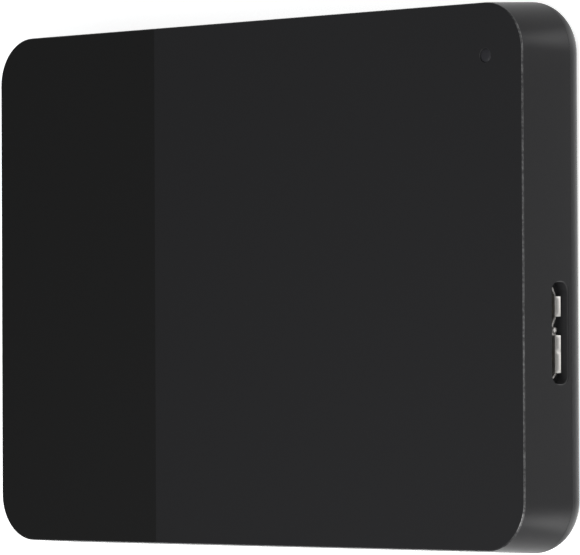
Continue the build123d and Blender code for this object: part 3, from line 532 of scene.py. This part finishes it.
def makeObject(name, bm):
    bmesh.ops.recalc_face_normals(bm, faces=bm.faces[:])
    mesh = bpy.data.meshes.new(name)
    bm.to_mesh(mesh)
    bm.free()
    piece = bpy.data.objects.new(name, mesh)
    collection.objects.link(piece)
    return piece


# closed shapes, each from its own row of loops
def makeSolids(name, *rows):
    bm = bmesh.new()
    for loops in rows:
        skinLoops(bm, loops, closeFirst=True, closeLast=True)
    return makeObject(name, bm)


# the two loops of a box between two corners, in mm
def boxLoops(low, high):
    outline = [(low[0], low[1]), (high[0], low[1]), (high[0], high[1]), (low[0], high[1])]
    return [[(x, y, z) for x, y in outline] for z in (low[2], high[2])]


# cuts one closed shape out of another, or joins it on, and keeps the result as plain mesh
def combine(piece, other, operation):
    cut = piece.modifiers.new("combine", "BOOLEAN")
    cut.operation = operation
    cut.solver = "EXACT"
    cut.use_self = True
    cut.object = other
    result = bpy.data.meshes.new_from_object(piece.evaluated_get(bpy.context.evaluated_depsgraph_get()))
    piece.modifiers.clear()
    piece.data = result
    bpy.data.objects.remove(other)


# smooth shading with crisp edges, then the finish, the body and the node that the piece stands for
def finishPiece(piece, material, body, stands=None, crispDegrees=35):
    piece.data.polygons.foreach_set("use_smooth", [True] * len(piece.data.polygons))
    piece.data.set_sharp_from_angle(angle=math.radians(crispDegrees))
    weighted = piece.modifiers.new("flatFacesStayFlat", "WEIGHTED_NORMAL")
    weighted.keep_sharp = True
    coat(piece, materials[material])
    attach(piece, body)
    if stands:
        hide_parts(*stands)
    print("piece", piece.name, len(piece.data.polygons), "faces")


# front cover of the case: drafted walls, a fine round along the front edge, socket slot and light hole
coverSpec = {
    "length": 109.0, "width": 78.0, "corner": 7.5, "cornerSteps": 20, "wall": 1.5,
    "parting": 4.5, "ceiling": 12.5, "face": 14.0, "draft": 0.53,
    "edgeRound": 0.26, "seamRound": 0.03, "roundSteps": 6, "faceBorder": 0.1,
    "slotPlace": (-7.96, 6.77), "slotSize": (14.3, 3.2), "slotCorner": 1.3, "slotSteps": 10,
    "slotFlare": 0.15, "slotBend": (1 / 3, 1 / 4),
    "framePlaces": (52.1, 52.5, 53.0), "frameGrow": 0.5,
    "lightPlace": (47.05, 31.0), "lightRadius": 1.0, "lightFlare": 0.1, "lightBend": 0.3, "lightPoints": 40,
    "overcut": 1.0,
}


def coverLoop(inset, z):
    halfLength = coverSpec["length"] / 2 - inset
    halfWidth = coverSpec["width"] / 2 - inset
    outline = roundedLoop(halfLength, halfWidth, coverSpec["corner"] - inset, coverSpec["cornerSteps"])
    return [(x, y, z) for x, y in outline]


def draftAt(z):
    return coverSpec["draft"] * (z - coverSpec["parting"]) / (coverSpec["face"] - coverSpec["parting"])


edgeTurn = quarterTurn(coverSpec["roundSteps"])
seam, edge = coverSpec["seamRound"], coverSpec["edgeRound"]
parting, face = coverSpec["parting"], coverSpec["face"]
rise = [(seam * (1 - math.sin(t)), parting + seam * (1 - math.cos(t))) for t in edgeTurn]
top = draftAt(face - edge)
rise += [(top + edge * (1 - math.cos(t)), face - edge + edge * math.sin(t)) for t in edgeTurn]
rise.append((top + edge + coverSpec["faceBorder"], face))
bm = bmesh.new()
outer = skinLoops(bm, [coverLoop(inset, z) for inset, z in rise], closeLast=True)
wall, ceiling = coverSpec["wall"], coverSpec["ceiling"]
inner = skinLoops(bm, [coverLoop(wall + draftAt(z), z) for z in (parting, ceiling)], closeLast=True)
joinRings(bm, outer[0], inner[0])
frontCover = makeObject("frontCover", bm)

slotY, slotZ = coverSpec["slotPlace"]
slotWide, slotHigh = coverSpec["slotSize"]
mouth = coverSpec["length"] / 2 - draftAt(slotZ)
frameBack, frameFloor, frameRoot = coverSpec["framePlaces"]


def slotLoop(x, grow):
    corner = coverSpec["slotCorner"] + grow
    outline = roundedLoop(slotWide / 2 + grow, slotHigh / 2 + grow, corner, coverSpec["slotSteps"])
    return [(x, slotY + y, slotZ + z) for y, z in outline]


# the slot goes down to a frame that fits round the socket
frameLoops = [slotLoop(x, coverSpec["frameGrow"]) for x in (frameBack, frameRoot)]
combine(frontCover, makeSolids("socketFrame", frameLoops), "UNION")
flare = coverSpec["slotFlare"]
bendBack, bendOut = (flare * share for share in coverSpec["slotBend"])
slotRise = ((frameFloor, 0.0), (mouth - flare, 0.0), (mouth - bendBack, bendOut), (mouth, flare),
            (mouth + coverSpec["overcut"], flare))
combine(frontCover, makeSolids("slotCutter", [slotLoop(x, grow) for x, grow in slotRise]), "DIFFERENCE")
socketSpec = {
    "ends": (-14.41, -1.51), "levels": (5.76, 8.12), "slope": 0.6, "wideRun": 0.64, "narrowRun": 1.07,
    "fold": (-8.03, -6.92), "foldTop": 6.38, "gap": 0.05, "overcut": (0.5, 0.2),
}
gap = socketSpec["gap"]
start, end = socketSpec["ends"][0] - gap, socketSpec["ends"][1] + gap
low, high = socketSpec["levels"][0] - gap, socketSpec["levels"][1] + gap
foldStart, foldEnd = socketSpec["fold"][0] + gap, socketSpec["fold"][1] - gap
foldTop = socketSpec["foldTop"] - gap
shoulder = low + socketSpec["slope"]
narrowRun = socketSpec["narrowRun"]
outline = [
    (start + socketSpec["wideRun"], low), (foldStart, low), (foldStart, foldTop), (foldEnd, foldTop),
    (foldEnd + narrowRun, low), (end - narrowRun, low), (end, shoulder), (end, high), (start, high),
    (start, shoulder),
]
socketRun = (frameBack - socketSpec["overcut"][0], frameFloor + socketSpec["overcut"][1])
socketLoops = [[(x, y, z) for y, z in outline] for x in socketRun]
combine(frontCover, makeSolids("socketCutter", socketLoops), "DIFFERENCE")

radius, flare = coverSpec["lightRadius"], coverSpec["lightFlare"]
bend = flare * coverSpec["lightBend"]
lightRise = ((radius, ceiling - coverSpec["overcut"]), (radius, face - flare), (radius + bend, face - bend),
             (radius + flare, face), (radius + flare, face + coverSpec["overcut"]))
lightLoops = [circleLoop(coverSpec["lightPlace"], r, z, coverSpec["lightPoints"]) for r, z in lightRise]
combine(frontCover, makeSolids("lightCutter", lightLoops), "DIFFERENCE")

# inside: ribs that hold the corner bumpers, and the pockets that the rear cover snaps into
ribSpec = {
    "place": (36.4, 20.9), "half": 0.5, "levels": (5.9, 12.9), "toWall": (53.6, 38.1), "side": 35.225,
    "ends": (-49.5, 51.3),
}
ribHalf = ribSpec["half"]
low, high = ribSpec["levels"]
endWall, sideWall = ribSpec["toWall"]
ribs = []
for sign in (-1, 1):
    x, y = (sign * v for v in ribSpec["place"])
    for flank in (-1, 1):
        start, stop = mirrorPair(flank, ribSpec["side"], sideWall)
        ribs.append(boxLoops((x - ribHalf, start, low), (x + ribHalf, stop, high)))
    for start, stop in ((-endWall, ribSpec["ends"][0]), (ribSpec["ends"][1], endWall)):
        ribs.append(boxLoops((start, y - ribHalf, low), (stop, y + ribHalf, high)))
combine(frontCover, makeSolids("ribBoxes", *ribs), "UNION")
snapSpec = {
    "places": (-34.0, 0.0, 34.0), "reach": 37.647, "level": 5.1, "half": (3.5, 0.25), "thick": 0.8,
    "gap": 0.15, "pocketDepth": 1.35,
}


# a box at each snap of one side, so far inward and outward from the snap's reach and so much larger
def snapBoxes(sign, inward, outward, grow):
    low, high = mirrorPair(sign, snapSpec["reach"] - inward, snapSpec["reach"] + outward)
    halfLong, halfTall = (h + grow for h in snapSpec["half"])
    bottom, top = snapSpec["level"] - halfTall, snapSpec["level"] + halfTall
    return [boxLoops((x - halfLong, low, bottom), (x + halfLong, high, top)) for x in snapSpec["places"]]


pockets = []
for sign in (-1, 1):
    pockets += snapBoxes(sign, snapSpec["pocketDepth"], snapSpec["gap"], snapSpec["gap"])
combine(frontCover, makeSolids("snapPockets", *pockets), "DIFFERENCE")
finishPiece(frontCover, "absMouldedSparkTexture", "drive", ["front_shell"])
# the slot's rim is polished, its walls and the frame at the bottom are matt and painted lighter, as painted
# light in the slot's shade
slotFinish = {"rim": "absMouldedPolished", "walls": "absMattPaintedLighter", "margin": 0.3, "rimSlack": 0.02,
              "floorSlack": 0.01, "rimFacing": (0.1, 0.98)}
slotIndex = {}
for part in ("rim", "walls"):
    slotIndex[part] = len(frontCover.data.materials)
    frontCover.data.materials.append(materials[slotFinish[part]])
rimFrom = mouth - coverSpec["slotFlare"] - slotFinish["rimSlack"]
wallsFrom = frameFloor - slotFinish["floorSlack"]
steepest, flattest = slotFinish["rimFacing"]
for polygon in frontCover.data.polygons:
    x, y, z = polygon.center / mm - Vector((0, slotY, slotZ))
    beyond = max(abs(y) - slotWide / 2, abs(z) - slotHigh / 2)
    if beyond < slotFinish["margin"]:
        if x > rimFrom and steepest < polygon.normal.x < flattest:
            polygon.material_index = slotIndex["rim"]
        elif wallsFrom < x < rimFrom:
            polygon.material_index = slotIndex["walls"]

# rear cover: a shallow tray with a full round outside, a lip inside the front cover and snap ridges on it
traySpec = {
    "face": 0.8, "floor": 2.3, "round": 3.5, "rim": 4.3, "steps": 14, "faceBorder": 0.2,
    "inner": (104.026, 73.026), "innerCorner": 5.2,
    "lip": {"outer": (105.626, 74.626), "thick": 0.8, "run": (94.0, 63.0), "root": 0.5, "top": 5.7,
            "mouth": (-16.61, 0.69)},
}
innerLength, innerWidth = traySpec["inner"]
inner = roundedLoop(innerLength / 2, innerWidth / 2, traySpec["innerCorner"], coverSpec["cornerSteps"])
loops = [[(x, y, z) for x, y in inner] for z in (traySpec["floor"], parting)]
loops += [coverLoop(seam * (1 - math.sin(t)), parting - seam * (1 - math.cos(t))) for t in edgeTurn]
roundness, rim = traySpec["round"], traySpec["rim"]
for t in quarterTurn(traySpec["steps"]):
    loops.append(coverLoop(roundness * (1 - math.cos(t)), rim - roundness * math.sin(t)))
loops.append(coverLoop(roundness + traySpec["faceBorder"], traySpec["face"]))
rearTray = makeSolids("rearTray", loops)
lip = traySpec["lip"]
bottom, top = parting - lip["root"], lip["top"]
endReach, sideReach = (length / 2 for length in lip["outer"])
sideRun, endRun = (length / 2 for length in lip["run"])
# the lip is left open at the socket
endRuns = {-1: [(-endRun, endRun)], 1: [(-endRun, lip["mouth"][0]), (lip["mouth"][1], endRun)]}
boxes = []
for sign in (-1, 1):
    low, high = mirrorPair(sign, sideReach - lip["thick"], sideReach)
    boxes.append(boxLoops((-sideRun, low, bottom), (sideRun, high, top)))
    low, high = mirrorPair(sign, endReach - lip["thick"], endReach)
    boxes += [boxLoops((low, start, bottom), (high, stop, top)) for start, stop in endRuns[sign]]
    boxes += snapBoxes(sign, snapSpec["thick"], 0.0, 0.0)
combine(rearTray, makeSolids("lipBoxes", *boxes), "UNION")
finishPiece(rearTray, "absMouldedCoarseTexture", "drive", ["rear_cover"])

# window of the status light: square stem and collar below the face, then a low window with a soft rim
lensSpec = {
    "place": coverSpec["lightPlace"], "stem": 1.6, "collar": 3.4, "collarHeight": 0.8, "low": 6.15,
    "radius": 0.995, "shoulder": 13.80, "top": 13.99, "fullness": 3.0, "points": 40, "domeSteps": 12,
}


# a square with as many points as the round loops that it joins
def squareLoop(middle, half, z, points):
    loop = []
    for i in range(points):
        a = math.tau * i / points
        r = half / max(abs(math.cos(a)), abs(math.sin(a)))
        loop.append((middle[0] + r * math.cos(a), middle[1] + r * math.sin(a), z))
    return loop


points = lensSpec["points"]
stem, collar = lensSpec["stem"] / 2, lensSpec["collar"] / 2
shelf = ceiling - lensSpec["collarHeight"]
squares = ((stem, lensSpec["low"]), (stem, shelf), (collar, shelf), (collar, ceiling))
loops = [squareLoop(lensSpec["place"], half, z, points) for half, z in squares]
loops.append(circleLoop(lensSpec["place"], lensSpec["radius"], ceiling, points))
for step in range(lensSpec["domeSteps"]):
    share = 1 - step / lensSpec["domeSteps"]
    z = lensSpec["top"] - (lensSpec["top"] - lensSpec["shoulder"]) * share ** lensSpec["fullness"]
    loops.append(circleLoop(lensSpec["place"], lensSpec["radius"] * share, z, points))
bm = bmesh.new()
rings = skinLoops(bm, loops, closeFirst=True)
apex = bm.verts.new(Vector((*lensSpec["place"], lensSpec["top"])) * mm)
for i in range(points):
    bm.faces.new((rings[-1][i], rings[-1][(i + 1) % points], apex))
finishPiece(makeObject("lightLens", bm), "acrylicSmokedSatin", "drive", ["light_pipe"])

# rubber feet: moulded discs with a rounded lower edge
footSpec = {
    "places": ((44.0, 28.5), (-44.0, 28.5), (-44.0, -28.5), (44.0, -28.5)), "radius": 4.0, "height": 0.8,
    "round": 0.35, "faceBorder": 0.1, "points": 64, "roundSteps": 5,
}
radius, roundness = footSpec["radius"], footSpec["round"]
profile = [(radius, footSpec["height"])]
for t in quarterTurn(footSpec["roundSteps"]):
    profile.append((radius - roundness * (1 - math.cos(t)), roundness * (1 - math.sin(t))))
profile.append((radius - roundness - footSpec["faceBorder"], 0.0))
feet = [[circleLoop(place, r, z, footSpec["points"]) for r, z in profile] for place in footSpec["places"]]
finishPiece(makeSolids("roundedFeet", *feet), "rubberMouldedMatt", "drive", ["rubber_feet"])

# the socket's middle tab: a tongue of the sheet, folded down between the two bays, its nose pressed round
tabSpec = {
    "place": (-7.52, 6.22), "half": (0.44, 0.50), "corner": 0.40, "root": 52.73, "nose": 53.12, "bulge": 0.36,
    "noseShare": 0.25, "steps": 6, "points": 6,
}
tabY, tabZ = tabSpec["place"]
tabRise = [(tabSpec["root"], 1.0)]
for t in quarterTurn(tabSpec["steps"]):
    share = tabSpec["noseShare"] + (1 - tabSpec["noseShare"]) * math.cos(t)
    tabRise.append((tabSpec["nose"] - tabSpec["bulge"] * (1 - math.sin(t)), share))
loops = []
for x, share in tabRise:
    halfWide, halfTall, corner = (v * share for v in (*tabSpec["half"], tabSpec["corner"]))
    outline = roundedLoop(halfWide, halfTall, corner, tabSpec["points"])
    loops.append([(x, tabY + y, tabZ + z) for y, z in outline])
finishPiece(makeSolids("socketTab", loops), "steelSheetBurnished", "drive")

# the socket's flared lips: pressed a little hollow and curled up at their ends, where they catch the light;
# the sheet's seam parts the long one
lipSpec = {
    "root": (52.72, 5.98), "reach": 0.58, "runs": ((-13.55, -10.56), (-10.54, -8.25), (-5.63, -2.80)),
    "shortBy": 0.04, "lift": 0.07, "sunk": 0.05, "hollow": 0.025, "tilt": 0.05, "faceSteps": 8,
    "curl": 0.02, "curlReach": 0.50, "curlSteps": 5,
}
slope = Vector((1, 0, -1)).normalized()
outward = Vector((1, 0, 1)).normalized()
halfLip = lipSpec["reach"] * math.sqrt(2) / 2
lipMiddle = Vector((lipSpec["root"][0], 0, lipSpec["root"][1])) + slope * halfLip
reach = halfLip - lipSpec["shortBy"]
shares = [1 - i / lipSpec["curlSteps"] for i in range(lipSpec["curlSteps"] + 1)]
lips = []
for start, stop in lipSpec["runs"]:
    rows = [(start + lipSpec["curlReach"] * (1 - share), share) for share in shares]
    rows += [(stop - lipSpec["curlReach"] * (1 - share), share) for share in reversed(shares)]
    loops = []
    for y, share in rows:
        section = [(-reach, -lipSpec["sunk"]), (reach, -lipSpec["sunk"])]
        for i in range(lipSpec["faceSteps"] + 1):
            across = 1 - 2 * i / lipSpec["faceSteps"]
            tilt = lipSpec["tilt"] * across * (1 - share)
            height = lipSpec["lift"] + lipSpec["hollow"] * across ** 2 - tilt + lipSpec["curl"] * share ** 2
            section.append((reach * across, height))
        loops.append([lipMiddle + slope * u + outward * n + Vector((0, y, 0)) for u, n in section])
    lips.append(loops)
finishPiece(makeSolids("socketLips", *lips), "steelSheetBurnished", "drive")
